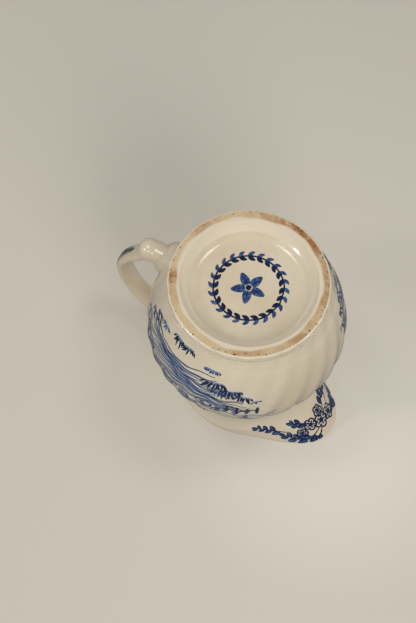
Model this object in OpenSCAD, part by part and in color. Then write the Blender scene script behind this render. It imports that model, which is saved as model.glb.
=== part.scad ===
// Cream jug: a swirl-fluted round body on a low foot ring, with a wide pouring lip
// and a loop handle that ends in a rounded spur. Slip collars join the handle to the body.
// Millimetres. The origin is the centre of the foot's rest face, +X points to the lip.

/* [Foot] */
// Outer radius of the foot ring
foot_r = 31; // [27:0.5:36]
// Height of the foot ring, from the rest face up to the body
foot_h = 3.5; // [2.5:0.25:4.5]
// Width of the flat rest face
rest_w = 4; // [2:0.25:5]
// Radius of the flat floor inside the foot
recess_r = 19.5; // [15:0.5:22]
// Height of that floor above the rest face
recess_h = 5; // [4.75:0.25:8]

/* [Body] */
// Radius of the belly, over the flutes
belly_r = 40; // [36:0.5:48]
// Height of the widest part of the belly
belly_z = 36; // [28:1:46]
// Radius of the neck, outside
neck_r = 27.5; // [22:0.5:34]
// Distance from the rim down to the narrowest part of the neck
neck_drop = 9.5; // [6:0.5:16]
// Radius of the rim at the back and sides
rim_r = 28.6; // [23:0.1:35]
// Height of the rim at the back
rim_z = 88.5; // [76:0.5:108]
// Thickness of the wall
wall = 3.2; // [2.4:0.1:4]
// Thickness of the floor
floor_t = 4; // [3:0.25:6]

/* [Flutes] */
// Number of flutes round the body
flutes = 24; // [16:1:30]
// Depth of the hollows between them
flute_depth = 0.6; // [0.3:0.05:1.2]
// Turn of each flute from the foot to the rim, in degrees
swirl = 52; // [0:1:90]
// Distance from the rim down to where the flutes have died out
flute_drop = 22.5; // [16:0.5:30]

/* [Lip] */
// Reach of the pouring lip beyond the round rim
lip_reach = 19; // [8:0.5:24]
// Rise of the lip's tip above the rim at the back
lip_rise = 11.5; // [4:0.5:16]
// Half width of the lip, in degrees
lip_half = 31; // [20:1:45]
// Distance from the rim down to where the lip starts to leave the body
lip_drop = 30.5; // [20:0.5:38]

/* [Handle] */
// Clear space for a finger, between the belly and the strap
finger_gap = 17; // [13:0.5:22]
// Distance from the rim down to the middle of the upper root
root_drop = 14.5; // [11:0.5:20]
// Height of the lower root
lower_root_z = 18.5; // [15:0.5:22]
// Length of the spur from the body to the middle of its knob
spur_len = 8.2; // [7:0.2:11]
// Rise of the spur from its root to its knob
spur_rise = 1; // [0:0.5:3]
// Width of the strap, side to side
strap_w = 8.2; // [6:0.2:11]
// Thickness of the strap
strap_t = 4.5; // [3.6:0.1:5.6]
// Diameter of the knob at the spur's end
knob_d = 9.4; // [8.6:0.2:11.8]
// Size of the slip collar at the upper root
collar = 1.5; // [0.8:0.1:1.8]
// Size of the fuller collar at the lower root
bead = 2.7; // [1:0.1:3]

/* [Hidden] */

glaze = [0.91, 0.87, 0.78];
bare_clay = [0.80, 0.70, 0.56];
slip_colour = [0.88, 0.83, 0.73];

// Points round the body: four for each flute
body_sides = flutes * 4;
// Points round the handle
strap_sides = 20;
// Height steps of the outer and the inner wall
outer_steps = 21;
inner_steps = 14;
edge_steps = 4;
// Rounding of the foot's edges, and of the bowl's inside corner
edge_r = 0.6;
corner_r = 8;
// Slope of the wall as it leaves the foot
foot_slope = 0.45;
// How slowly the lip's rise dies away round the rim, in degrees
rise_half = 81;
// How much the lip's curve is gathered near the rim
lip_curl = 1.9;
// Squareness of the strap's section, 2 being an ellipse
strap_power = 2.4;

// Heights that hang from the rim
neck_z = rim_z - neck_drop;
flute_top_z = rim_z - flute_drop;
lip_z = rim_z - lip_drop;
upper_root_z = rim_z - root_drop;
// The body stands this far proud of the foot ring
foot_step = 0.4;
body_foot_r = foot_r + foot_step;
rest_outer_r = foot_r - edge_r;
rest_inner_r = rest_outer_r - rest_w;
floor_z = recess_h + floor_t;
// Radius of the cove inside the foot at a height, from the rest face in to the flat floor
function cove_r(z) = recess_r + (rest_inner_r - recess_r) * sqrt(1 - z / recess_h);
// Where the strap stands furthest out
strap_out = belly_r + finger_gap + strap_t / 2;
strap_out_z = lerp(lower_root_z, upper_root_z, 0.48);

// A smooth step from 0 to 1
function ease(t) = let(c = min(max(t, 0), 1)) c * c * (3 - 2 * c);
function lerp(a, b, t) = a + (b - a) * t;
// An angle brought to -180..180
function wrap(a) = a - 360 * floor((a + 180) / 360);

// Cubic curve from a to b over a height h, leaving a at the given slope and level at b
function rise(a, b, h, slope, t) = lerp(a, b, ease(t)) + h * slope * t * (1 - t) * (1 - t);

// Radius of the plain body at a height, without flutes or lip
function plain_r(z) =
  z < belly_z ? rise(body_foot_r, belly_r, belly_z - foot_h, foot_slope, (z - foot_h) / (belly_z - foot_h))
  : z < neck_z ? lerp(belly_r, neck_r, ease((z - belly_z) / (neck_z - belly_z)))
  : lerp(neck_r, rim_r, pow((z - neck_z) / (rim_z - neck_z), 2));

// Height of the rim at an angle, and of the middle of its rounded edge
function rim_height(a) = rim_z + lip_rise * exp(-pow(wrap(a) / rise_half, 2));
function edge_height(a) = rim_height(a) - wall / 2;
// Share of the way up the wall, from the foot to the rim's edge
function climb(a, z) = (z - foot_h) / (edge_height(a) - foot_h);
// How much of its full depth a hollow has at a height
function flute_share(z) =
  ease((flute_top_z - z) / (flute_top_z - belly_z)) * lerp(0.45, 1, ease((z - foot_h) / belly_z));
function groove(a, z) =
  flute_depth * flute_share(z) * pow(sin(flutes / 2 * (a - swirl * climb(a, z))), 2);
function lip_out(a, z) =
  let(t = min(max((z - lip_z) / (rim_height(a) - lip_z), 0), 1), half = lip_half * lerp(0.8, 1, t))
  lip_reach * pow(t, lip_curl) * exp(-pow(wrap(a) / half, 2));

function smooth_r(a, z) = plain_r(min(z, rim_z)) + lip_out(a, z);
function outer_r(a, z) = smooth_r(a, z) - groove(a, z);
// Inside radius, rounded into the floor
function inner_r(a, z) =
  let(d = max(corner_r - (z - floor_z), 0))
  smooth_r(a, z) - wall - (corner_r - sqrt(corner_r * corner_r - d * d));

function polar(r, a, z) = [r * cos(a), r * sin(a), z];
function ring(r, z) = [for (k = [0:body_sides - 1]) polar(r, 360 * k / body_sides, z)];

// Rings of points up the outside, over the rim and down the inside
function outer_ring(u) = [
  for (k = [0:body_sides - 1])
  let(a = 360 * k / body_sides + swirl * u, z = lerp(foot_h, edge_height(a), u))
  polar(outer_r(a, z), a, z)
];
function edge_ring(i) = [
  for (k = [0:body_sides - 1])
  let(a = 360 * k / body_sides + swirl, turn = 180 * i / edge_steps, z = edge_height(a))
  polar(smooth_r(a, z) - wall / 2 * (1 - cos(turn)), a, z + wall / 2 * sin(turn))
];
function inner_ring(u) = [
  for (k = [0:body_sides - 1])
  let(a = 360 * k / body_sides + swirl, z = lerp(floor_z, edge_height(a), u))
  polar(inner_r(a, z), a, z)
];

// Skin over rings of n points each, closed at each end by a fan to a point
module skin(rings, n, first, last) {
  count = len(rings);
  points = concat([for (r = rings) each r], [first, last]);
  function at(i, k) = i * n + k % n;
  faces = concat(
    [for (k = [0:n - 1]) [count * n, at(0, k), at(0, k + 1)]],
    [for (i = [0:count - 2], k = [0:n - 1]) each [
      [at(i, k), at(i + 1, k), at(i, k + 1)],
      [at(i + 1, k), at(i + 1, k + 1), at(i, k + 1)]
    ]],
    [for (k = [0:n - 1]) [count * n + 1, at(count - 1, k + 1), at(count - 1, k)]]
  );
  polyhedron(points = points, faces = faces);
}

// Skin over sections of n points each, set round a loop
module loop_skin(sections, n) {
  count = len(sections);
  function at(i, k) = (i % count) * n + k % n;
  faces = [for (i = [0:count - 1], k = [0:n - 1]) each [
    [at(i, k), at(i + 1, k), at(i, k + 1)],
    [at(i + 1, k), at(i + 1, k + 1), at(i, k + 1)]
  ]];
  polyhedron(points = [for (s = sections) each s], faces = faces);
}

module body() {
  color(glaze)
    skin(
      rings = concat(
        [for (t = [0, 0.12, 0.5, 1]) let(z = lerp(recess_h, foot_h, t)) ring(cove_r(z), z)],
        [for (i = [0:outer_steps - 1]) outer_ring(i / outer_steps)],
        [for (i = [0:edge_steps - 1]) edge_ring(i)],
        [for (i = [0:inner_steps]) inner_ring(pow(1 - i / inner_steps, 1.15))]
      ),
      n = body_sides,
      first = [0, 0, recess_h],
      last = [0, 0, floor_z]
    );
}

module foot_ring() {
  color(bare_clay)
    rotate_extrude($fn = 144)
      polygon([
        [rest_inner_r, 0],
        [rest_outer_r, 0],
        for (t = [15:15:75]) [rest_outer_r + edge_r * sin(t), edge_r * (1 - cos(t))],
        [foot_r, edge_r],
        [foot_r + foot_step / 2, foot_h],
        for (t = [1:-0.2:0.2]) [cove_r(foot_h * t), foot_h * t]
      ]);
}

// Outline of a root or strap section: sideways and crossways, for a width and a thickness.
// A section as thick as it is wide is round.
function power(v, p) = sign(v) * pow(abs(v), p);
function outline(w, t, k) =
  let(a = 360 * k / strap_sides, p = w == t ? 1 : 2 / strap_power)
  [w / 2 * power(cos(a), p), -t / 2 * power(sin(a), p)];

// Distance from the jug's axis plane to the body's surface behind a point at y, z
function surface_x(y, z, step = 4) =
  step == 0 ? plain_r(z)
  : let(x = surface_x(y, z, step - 1), r = outer_r(180 - atan2(y, x), z)) sqrt(r * r - y * y);

// Ring of a root's outline, at a distance out from the body's surface
function root_ring(root_z, w, t, out) = [
  for (k = [0:strap_sides - 1])
  let(o = outline(w, t, k), y = o[0], z = root_z + o[1])
  [-surface_x(y, z) - out, y, z]
];

function bezier(p, t) =
  pow(1 - t, 3) * p[0] + 3 * t * pow(1 - t, 2) * p[1] + 3 * t * t * (1 - t) * p[2] + pow(t, 3) * p[3];
function bezier_way(p, t) =
  pow(1 - t, 2) * (p[1] - p[0]) + 2 * t * (1 - t) * (p[2] - p[1]) + t * t * (p[3] - p[2]);

// Section of the handle across its middle line: place [out, up], direction and sizes
function strap_ring(place, way, w, t) =
  let(n = way / norm(way))
  [for (k = [0:strap_sides - 1])
    let(o = outline(w, t, k))
    [-place[0] + o[1] * n[1], o[0], place[1] + o[1] * n[0]]];

root_w = strap_w + 1.6;
root_t = strap_t + 1.8;
// The spur is a little slimmer than its knob
spur_d = knob_d - 0.4;
// Clear step from the end of a root to the first square section of the handle
root_gap = 0.5;
upper_start = plain_r(upper_root_z - root_t / 2) + collar + root_gap;
spur_start = plain_r(lower_root_z + spur_d / 2) + bead + root_gap;

// The handle's middle line: out from the neck, round the loop and down into the knob
upper_x = surface_x(0, upper_root_z);
lower_x = surface_x(0, lower_root_z);
knob_x = lower_x + spur_len;
knob_z = lower_root_z + spur_rise;
upper_arc = [
  [upper_start, upper_root_z],
  [lerp(upper_x, strap_out, 0.58), upper_root_z],
  [strap_out, lerp(strap_out_z, upper_root_z, 0.6)],
  [strap_out, strap_out_z]
];
lower_arc = [
  [strap_out, strap_out_z],
  [strap_out, lerp(strap_out_z, knob_z, 0.34)],
  [lerp(knob_x, strap_out, 0.4), lerp(knob_z, strap_out_z, 0.36)],
  [knob_x, knob_z]
];

module strap() {
  upper_end = [
    root_ring(upper_root_z, root_w, root_t, 0),
    root_ring(upper_root_z, root_w, root_t, collar)
  ];
  upper_rings = [
    for (t = [0:0.1:1])
    let(flare = 1 - ease(t * 2.5))
    strap_ring(bezier(upper_arc, t), bezier_way(upper_arc, t),
      lerp(strap_w, root_w, flare), lerp(strap_t, root_t, flare))
  ];
  lower_rings = [
    for (t = [0.1:0.1:1]) strap_ring(bezier(lower_arc, t), bezier_way(lower_arc, t), strap_w, strap_t)
  ];
  skin(
    rings = concat(upper_end, upper_rings, lower_rings),
    n = strap_sides,
    first = [-upper_x, 0, upper_root_z],
    last = [-knob_x, 0, knob_z]
  );
}

// The spur: out from the body through a slight waist to a round knob
module spur() {
  function spur_ring(x, z, d) = strap_ring([x, z], [1, 0], d, d);
  root = [for (out = [0, bead]) root_ring(lower_root_z, spur_d, spur_d, out)];
  neck = [
    for (t = [0:0.25:0.75])
    spur_ring(lerp(spur_start, knob_x, t), lerp(lower_root_z, knob_z, ease(t)), lerp(spur_d, knob_d, t * t))
  ];
  dome = [for (a = [0:15:75]) spur_ring(knob_x + knob_d / 2 * sin(a), knob_z, knob_d * cos(a))];
  skin(
    rings = concat(root, neck, dome),
    n = strap_sides,
    first = [-lower_x, 0, lower_root_z],
    last = [-knob_x - knob_d / 2, 0, knob_z]
  );
}

module handle() {
  color(glaze) {
    strap();
    spur();
  }
}

// Collar of slip round a root, hollow in the cheek for a curl of 3 and full for a curl of 1.
// It sags toward the foot by a share of its size.
module slip_collar(root_z, w, t, size, curl, sag = 0) {
  inner_low = root_ring(root_z, w, t, 0);
  cheek = [
    for (a = [90:-22.5:0])
    let(grow = 2 * size * pow(cos(a), curl))
    root_ring(root_z - sag * grow / 2, w + grow, t + grow, size * pow(sin(a), curl))
  ];
  color(slip_colour)
    loop_skin(
      [for (k = [0:strap_sides - 1]) [inner_low[k], for (c = cheek) c[k]]],
      n = 1 + len(cheek)
    );
}

module upper_collar() {
  slip_collar(upper_root_z, root_w, root_t, collar, 3);
}

module lower_collar() {
  slip_collar(lower_root_z, spur_d, spur_d, bead, 1, 0.6);
}

body();
foot_ring();
handle();
upper_collar();
lower_collar();
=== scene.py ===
"""Cream jug: the glazed ware, its bare foot and its cobalt print, built round the CAD frame.

The jug stands upright on its foot in the frame. The main view shows it upside down on its rim, so
the camera looks up at the foot from below, and the floor of that view lies against the rim.
All sizes inside the classes are millimetres; meshes are written in metres.
"""

import logging
import math
import random
from collections.abc import Callable, Sequence
from dataclasses import dataclass
from enum import Enum

import bpy
import numpy as np
from mathutils import Matrix, Vector


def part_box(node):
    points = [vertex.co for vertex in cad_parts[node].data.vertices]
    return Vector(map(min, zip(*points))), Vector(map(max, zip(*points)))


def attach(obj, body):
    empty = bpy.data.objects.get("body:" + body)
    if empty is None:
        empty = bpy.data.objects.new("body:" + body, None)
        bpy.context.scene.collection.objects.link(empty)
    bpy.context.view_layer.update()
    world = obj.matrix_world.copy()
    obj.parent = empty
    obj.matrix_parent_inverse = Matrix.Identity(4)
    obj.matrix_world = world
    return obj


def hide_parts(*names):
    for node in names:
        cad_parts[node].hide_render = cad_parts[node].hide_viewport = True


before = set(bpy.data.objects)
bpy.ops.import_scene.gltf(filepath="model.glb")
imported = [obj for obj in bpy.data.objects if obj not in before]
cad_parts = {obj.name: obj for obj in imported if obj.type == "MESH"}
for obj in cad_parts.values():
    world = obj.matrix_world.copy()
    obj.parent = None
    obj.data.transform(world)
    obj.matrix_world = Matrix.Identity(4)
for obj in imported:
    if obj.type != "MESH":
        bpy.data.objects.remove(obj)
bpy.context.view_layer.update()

log = logging.getLogger("cream_jug")
Socket = bpy.types.NodeSocket
MM = 0.001
WELD = MM / 500
SMOOTH_ANGLE = math.radians(38)
Points = np.ndarray
Stroke = list[tuple[float, float]]


def ease(t: np.ndarray | float) -> np.ndarray:
    """A smooth step from 0 to 1."""
    c = np.clip(t, 0.0, 1.0)
    return c * c * (3 - 2 * c)


def mix(a: float, b: float, t: np.ndarray | float) -> np.ndarray | float:
    """The value a share t of the way from a to b."""
    return a + (b - a) * t


def half_turn(angle: np.ndarray | float) -> np.ndarray:
    """Bring angles to -180..180 degrees."""
    return (np.asarray(angle, float) + 180) % 360 - 180


def to_round(points: Points) -> tuple[np.ndarray, np.ndarray, np.ndarray]:
    """Radius, angle in degrees and height of each point."""
    x, y, z = points.T
    return np.hypot(x, y), np.degrees(np.arctan2(y, x)), z


def from_round(radius: np.ndarray, angle: np.ndarray, z: np.ndarray) -> Points:
    """Points at radii, angles in degrees and heights, one row each."""
    a = np.radians(angle)
    return np.stack([radius * np.cos(a), radius * np.sin(a), np.broadcast_to(z, radius.shape)], -1)


def linear(hex_colour: str) -> tuple[float, float, float, float]:
    """Turn an sRGB hex colour into linear RGBA.

    Args:
        hex_colour: The colour as "#rrggbb".

    Returns:
        Linear red, green, blue and an alpha of 1.
    """
    values = [int(hex_colour[i : i + 2], 16) / 255 for i in (1, 3, 5)]
    rgb = [v / 12.92 if v <= 0.04045 else ((v + 0.055) / 1.055) ** 2.4 for v in values]
    return (rgb[0], rgb[1], rgb[2], 1.0)


# ---------------------------------------------------------------- form


@dataclass(frozen=True)
class JugForm:
    """The jug's outer form as curves of angle (degrees from the lip) and height (mm).

    The leading sizes are read from the frame; the rest are the design's own values.
    """

    foot_r: float
    foot_h: float
    tip_z: float
    foot_step: float = 0.4
    foot_share: float = 0.45
    belly_r: float = 40.0
    belly_z: float = 36.0
    rim_z: float = 88.5
    neck_r: float = 27.5
    neck_drop: float = 9.5
    rim_r: float = 28.6
    wall: float = 3.2
    floor_t: float = 4.0
    recess_r: float = 19.5
    recess_h: float = 5.0
    rest_w: float = 4.0
    edge_r: float = 0.6
    corner_r: float = 8.0
    flutes: int = 24
    flute_depth: float = 0.6
    flute_drop: float = 22.5
    swirl: float = 52.0
    lip_reach: float = 19.0
    lip_half: float = 31.0
    lip_drop: float = 30.5
    lip_curl: float = 1.9
    rise_half: float = 81.0
    foot_slope: float = 0.45

    @classmethod
    def from_frame(cls) -> "JugForm":
        """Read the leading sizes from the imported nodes.

        Returns:
            The form.
        """
        foot_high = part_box("foot_ring")[1]
        body_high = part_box("body")[1]
        return cls(
            foot_r=round(foot_high.x / MM - cls.foot_step / 2, 2),
            foot_h=round(foot_high.z / MM, 2),
            tip_z=round(body_high.z / MM, 1),
        )

    @property
    def neck_z(self) -> float:
        """Height of the narrowest part of the neck."""
        return self.rim_z - self.neck_drop

    @property
    def rest_outer_r(self) -> float:
        """Outer radius of the flat rest face."""
        return self.foot_r - self.edge_r

    @property
    def rest_inner_r(self) -> float:
        """Inner radius of the flat rest face."""
        return self.rest_outer_r - self.rest_w

    @property
    def floor_z(self) -> float:
        """Height of the bowl's floor."""
        return self.recess_h + self.floor_t

    def cove_r(self, z: np.ndarray | float) -> np.ndarray:
        """Radius of the cove inside the foot at a height."""
        return self.recess_r + (self.rest_inner_r - self.recess_r) * np.sqrt(1 - z / self.recess_h)

    def plain_r(self, z: np.ndarray) -> np.ndarray:
        """Radius of the plain body at a height, without flutes or lip.

        Args:
            z: Heights in mm.

        Returns:
            Radii in mm.
        """
        z = np.asarray(z, float)
        span = self.belly_z - self.foot_h
        t = (z - self.foot_h) / span
        start = self.foot_r + self.foot_step
        low = mix(start, self.belly_r, ease(t)) + span * self.foot_slope * t * (1 - t) ** 2
        high = mix(self.belly_r, self.neck_r, ease((z - self.belly_z) / (self.neck_z - self.belly_z)))
        top = mix(self.neck_r, self.rim_r, ((z - self.neck_z) / self.neck_drop) ** 2)
        return np.where(z < self.belly_z, low, np.where(z < self.neck_z, high, top))

    def rim_height(self, angle: np.ndarray) -> np.ndarray:
        """Height of the rim at an angle."""
        turn = half_turn(angle)
        return self.rim_z + (self.tip_z - self.rim_z) * np.exp(-((turn / self.rise_half) ** 2))

    def edge_height(self, angle: np.ndarray) -> np.ndarray:
        """Height of the middle of the rim's rounded edge at an angle."""
        return self.rim_height(angle) - self.wall / 2

    def flute_share(self, z: np.ndarray) -> np.ndarray:
        """How much of its full depth a groove has at a height.

        Args:
            z: Heights in mm.

        Returns:
            Shares from 0 to 1.
        """
        top = self.rim_z - self.flute_drop
        low_share = mix(self.foot_share, 1, ease((z - self.foot_h) / self.belly_z))
        return ease((top - z) / (top - self.belly_z)) * low_share

    def groove(self, angle: np.ndarray, z: np.ndarray) -> np.ndarray:
        """Depth of the surface below the flutes' crests.

        Args:
            angle: Degrees round from the lip.
            z: Heights in mm.

        Returns:
            Depths in mm.
        """
        climb = (z - self.foot_h) / (self.edge_height(angle) - self.foot_h)
        phase = np.radians(self.flutes / 2 * (angle - self.swirl * climb))
        return self.flute_depth * self.flute_share(z) * np.sin(phase) ** 2

    def lip_out(self, angle: np.ndarray, z: np.ndarray) -> np.ndarray:
        """How far the pouring lip draws the wall out.

        Args:
            angle: Degrees round from the lip.
            z: Heights in mm.

        Returns:
            Distances in mm.
        """
        turn = half_turn(angle)
        start = self.rim_z - self.lip_drop
        t = np.clip((z - start) / (self.rim_height(angle) - start), 0, 1)
        half = self.lip_half * mix(0.8, 1, t)
        return self.lip_reach * t**self.lip_curl * np.exp(-((turn / half) ** 2))

    def smooth_r(self, angle: np.ndarray, z: np.ndarray) -> np.ndarray:
        """Outside radius without the flutes."""
        return self.plain_r(np.minimum(z, self.rim_z)) + self.lip_out(angle, z)

    def outer_r(self, angle: np.ndarray, z: np.ndarray) -> np.ndarray:
        """Outside radius with the flutes."""
        return self.smooth_r(angle, z) - self.groove(angle, z)

    def point(self, angle: np.ndarray, z: np.ndarray) -> Points:
        """Points on the outside, in mm, one row each."""
        return from_round(self.outer_r(angle, z), angle, z)

    def lifted(self, angle: np.ndarray, z: np.ndarray, lift: np.ndarray) -> Points:
        """Points at a height above the outside, along its normal.

        Args:
            angle: Degrees round from the lip.
            z: Heights in mm.
            lift: Distances off the surface in mm.

        Returns:
            The points in mm.
        """
        step = 0.4
        here = self.point(angle, z)
        round_way = self.point(angle + step, z) - self.point(angle - step, z)
        up_way = self.point(angle, z + step) - self.point(angle, z - step)
        normal = np.cross(round_way, up_way)
        normal /= np.linalg.norm(normal, axis=-1, keepdims=True)
        return here + normal * lift[:, None]

    def surface_x(self, y: np.ndarray, z: np.ndarray) -> np.ndarray:
        """Distance back from the axis to the outside behind the jug, at y and z.

        Args:
            y: Sideways distances in mm.
            z: Heights in mm.

        Returns:
            Distances in mm, all positive.
        """
        x = self.plain_r(z)
        for _ in range(5):
            r = self.outer_r(180 - np.degrees(np.arctan2(y, x)), z)
            x = np.sqrt(r * r - y * y)
        return x


# ---------------------------------------------------------------- materials


class Nodes:
    """A material's node tree, with one small function that adds a node."""

    def __init__(self, name: str) -> None:
        """Start a node material of the given name.

        Args:
            name: The material's name.
        """
        self.material = bpy.data.materials.new(name)
        self.material.use_nodes = True
        self.tree = self.material.node_tree
        self.tree.nodes.clear()

    def add(self, kind: str, settings: dict | None = None, **inputs: object) -> bpy.types.Node:
        """Add one node with its settings and links.

        Args:
            kind: The node's type name without "ShaderNode".
            settings: Properties of the node.
            **inputs: Input values by name, or by index as _0; sockets are linked.

        Returns:
            The new node.
        """
        node = self.tree.nodes.new("ShaderNode" + kind)
        for key, value in (settings or {}).items():
            setattr(node, key, value)
        for key, value in inputs.items():
            socket = node.inputs[int(key[1:]) if key[1:].isdigit() else key.replace("_", " ")]
            if isinstance(value, Socket):
                self.tree.links.new(value, socket)
            else:
                socket.default_value = value
        return node

    def ramp(self, factor: Socket, stops: Sequence[tuple[float, float]]) -> Socket:
        """Add a grey colour ramp through the given (position, value) stops.

        Args:
            factor: What drives the ramp.
            stops: Position and value of each stop.

        Returns:
            The ramp's colour socket.
        """
        node = self.add("ValToRGB", Fac=factor)
        points = node.color_ramp.elements
        while len(points) < len(stops):
            points.new(1.0)
        for point, (place, value) in zip(points, stops, strict=True):
            point.position = place
            point.color = (value, value, value, 1)
        return node.outputs["Color"]

    def blend(self, factor: object, a: object, b: object) -> Socket:
        """Mix two colours by a factor.

        Args:
            factor: Share of the second colour, as a value or a socket.
            a: First colour or socket.
            b: Second colour or socket.

        Returns:
            The mixed colour socket.
        """
        node = self.add("Mix", {"data_type": "RGBA", "blend_type": "MIX"}, _0=factor, _6=a, _7=b)
        return node.outputs[2]

    def surface(self, shader: bpy.types.Node) -> bpy.types.Material:
        """Send a shader to the material's output and return the material."""
        self.add("OutputMaterial", Surface=shader.outputs[0])
        return self.material


@dataclass(frozen=True)
class CreamGlaze:
    """Clear lead-style glaze over a slip-cast cream earthenware body, dipped and glost fired.

    It gives a warm, wet-looking gloss with faint cloudiness, a fine craze net and a few specks.
    """

    name: str = "cream_glaze_on_cast_earthenware"
    light: str = "#e5d9c4"
    deep: str = "#d9cab0"
    craze_tone: str = "#bda883"
    speck_tone: str = "#8a6a45"
    cloud_mm: float = 26.0
    craze_mm: float = 5.5
    speck_mm: float = 7.0
    ripple_mm: float = 5.0

    def make(self) -> bpy.types.Material:
        """Build the node material.

        Returns:
            The finished material.
        """
        n = Nodes(self.name)
        place = n.add("TexCoord").outputs["Object"]
        cloud = n.add("TexNoise", Vector=place, Scale=1 / (self.cloud_mm * MM), Detail=4.0).outputs["Fac"]
        base = n.blend(n.ramp(cloud, [(0.3, 0), (0.7, 1)]), linear(self.deep), linear(self.light))
        net = n.add(
            "TexVoronoi", {"feature": "DISTANCE_TO_EDGE"}, Vector=place, Scale=1 / (self.craze_mm * MM)
        ).outputs["Distance"]
        crazed = n.blend(n.ramp(net, [(0.0, 0.16), (0.02, 0.0)]), base, linear(self.craze_tone))
        dots = n.add("TexVoronoi", Vector=place, Scale=1 / (self.speck_mm * MM)).outputs["Distance"]
        specked = n.blend(n.ramp(dots, [(0.0, 0.75), (0.035, 0.0)]), crazed, linear(self.speck_tone))
        ripple = n.add("TexNoise", Vector=place, Scale=1 / (self.ripple_mm * MM), Detail=2.0).outputs["Fac"]
        bump = n.add("Bump", Height=ripple, Strength=0.05, Distance=0.35 * MM)
        return n.surface(
            n.add(
                "BsdfPrincipled",
                Base_Color=specked,
                Roughness=0.34,
                IOR=1.5,
                Subsurface_Weight=0.08,
                Subsurface_Scale=1.5 * MM,
                Subsurface_Radius=(1.0, 0.7, 0.45),
                Coat_Weight=1.0,
                Coat_Roughness=0.06,
                Coat_IOR=1.55,
                Normal=bump.outputs["Normal"],
                Coat_Normal=bump.outputs["Normal"],
            )
        )


@dataclass(frozen=True)
class WornFoot:
    """Bare biscuit earthenware of a rest face, rubbed and stained by use, glazed at its edges.

    The glaze was wiped off before firing; tea and dust have stained the open clay tan.
    """

    name: str = "bare_worn_biscuit_foot"
    glaze_tone: str = "#e6dac5"
    clay: str = "#d9c5a0"
    stain: str = "#9f6830"
    pit: str = "#33241a"
    blotch_mm: float = 4.0
    grain_mm: float = 0.9
    pit_mm: float = 1.15

    def make(self) -> bpy.types.Material:
        """Build the node material, which reads the bare, stain and grit attributes.

        Returns:
            The finished material.
        """
        n = Nodes(self.name)
        place = n.add("TexCoord").outputs["Object"]
        bare = n.add("Attribute", {"attribute_name": "bare"}).outputs["Fac"]
        stain = n.add("Attribute", {"attribute_name": "stain"}).outputs["Fac"]
        grit = n.add("Attribute", {"attribute_name": "grit"}).outputs["Fac"]
        blotch = n.add("TexNoise", Vector=place, Scale=1 / (self.blotch_mm * MM), Detail=5.0).outputs["Fac"]
        grain = n.add("TexNoise", Vector=place, Scale=1 / (self.grain_mm * MM), Detail=3.0).outputs["Fac"]
        cloudy = n.ramp(blotch, [(0.35, 0.35), (0.55, 1)])
        patchy = n.add("Math", {"operation": "MULTIPLY"}, _0=stain, _1=cloudy)
        clay = n.blend(n.ramp(grain, [(0.45, 0.0), (0.8, 0.3)]), linear(self.clay), linear(self.stain))
        stained = n.blend(patchy.outputs[0], clay, linear(self.stain))
        dots = n.add("TexVoronoi", Vector=place, Scale=1 / (self.pit_mm * MM))
        chance = n.add("Math", {"operation": "LESS_THAN"}, _0=dots.outputs["Color"], _1=grit)
        uneven = n.add("MapRange", Value=grain, From_Min=0.3, From_Max=0.7, To_Min=0.6, To_Max=2.2)
        uneven_reach = uneven.outputs["Result"]
        reach = n.add("Math", {"operation": "MULTIPLY"}, _0=dots.outputs["Distance"], _1=uneven_reach)
        size = n.ramp(reach.outputs[0], [(0.26, 1.0), (0.46, 0.0)])
        spots = n.add("Math", {"operation": "MULTIPLY"}, _0=size, _1=chance.outputs[0])
        face = n.blend(spots.outputs[0], stained, linear(self.pit))
        colour = n.blend(bare, linear(self.glaze_tone), face)
        height = n.add("Math", {"operation": "MULTIPLY"}, _0=grain, _1=bare)
        bump = n.add("Bump", Height=height.outputs[0], Strength=0.5, Distance=0.2 * MM)
        dry = n.add("MapRange", Value=bare, To_Min=0.18, To_Max=0.62).outputs["Result"]
        wet = n.add("MapRange", Value=bare, To_Min=1.0, To_Max=0.0).outputs["Result"]
        return n.surface(
            n.add(
                "BsdfPrincipled",
                Base_Color=colour,
                Roughness=dry,
                IOR=1.5,
                Coat_Weight=wet,
                Coat_Roughness=0.06,
                Normal=bump.outputs["Normal"],
            )
        )


class Ink(Enum):
    """Strength of the cobalt in a printed stroke, and its height above the ware in mm."""

    PALE = (0.0, 0.014)
    MIDDLE = (0.5, 0.022)
    DARK = (1.0, 0.03)


@dataclass(frozen=True)
class CobaltPrint:
    """Cobalt oxide transfer, printed on the biscuit and sunk under the clear glaze.

    The colour pools in the heavier lines and fades in the thin ones, under the same gloss.
    """

    name: str = "cobalt_underglaze_transfer"
    dark: str = "#05153c"
    middle: str = "#1e4077"
    pale: str = "#7892b4"
    grain_mm: float = 1.1

    def make(self) -> bpy.types.Material:
        """Build the node material, which reads the ink attribute.

        Returns:
            The finished material.
        """
        n = Nodes(self.name)
        place = n.add("TexCoord").outputs["Object"]
        ink = n.add("Attribute", {"attribute_name": "ink"}).outputs["Fac"]
        grain = n.add("TexNoise", Vector=place, Scale=1 / (self.grain_mm * MM), Detail=3.0).outputs["Fac"]
        fade = n.add("MapRange", Value=grain, From_Min=0.35, From_Max=0.75, To_Min=0.12, To_Max=-0.3)
        strength = n.add("Math", {"operation": "ADD"}, _0=ink, _1=fade.outputs["Result"]).outputs[0]
        tones = n.add("ValToRGB", Fac=strength)
        points = tones.color_ramp.elements
        points.new(0.5)
        stops = ((0.0, self.pale), (0.5, self.middle), (0.95, self.dark))
        for point, (spot, tone) in zip(points, stops, strict=True):
            point.position = spot
            point.color = linear(tone)
        return n.surface(
            n.add(
                "BsdfPrincipled",
                Base_Color=tones.outputs["Color"],
                Roughness=0.5,
                Specular_IOR_Level=0.1,
                Coat_Weight=1.0,
                Coat_Roughness=0.08,
            )
        )


# ---------------------------------------------------------------- modelling


def deselect_all() -> None:
    """Leave nothing selected and no object active."""
    bpy.ops.object.select_all(action="DESELECT")
    bpy.context.view_layer.objects.active = None


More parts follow.
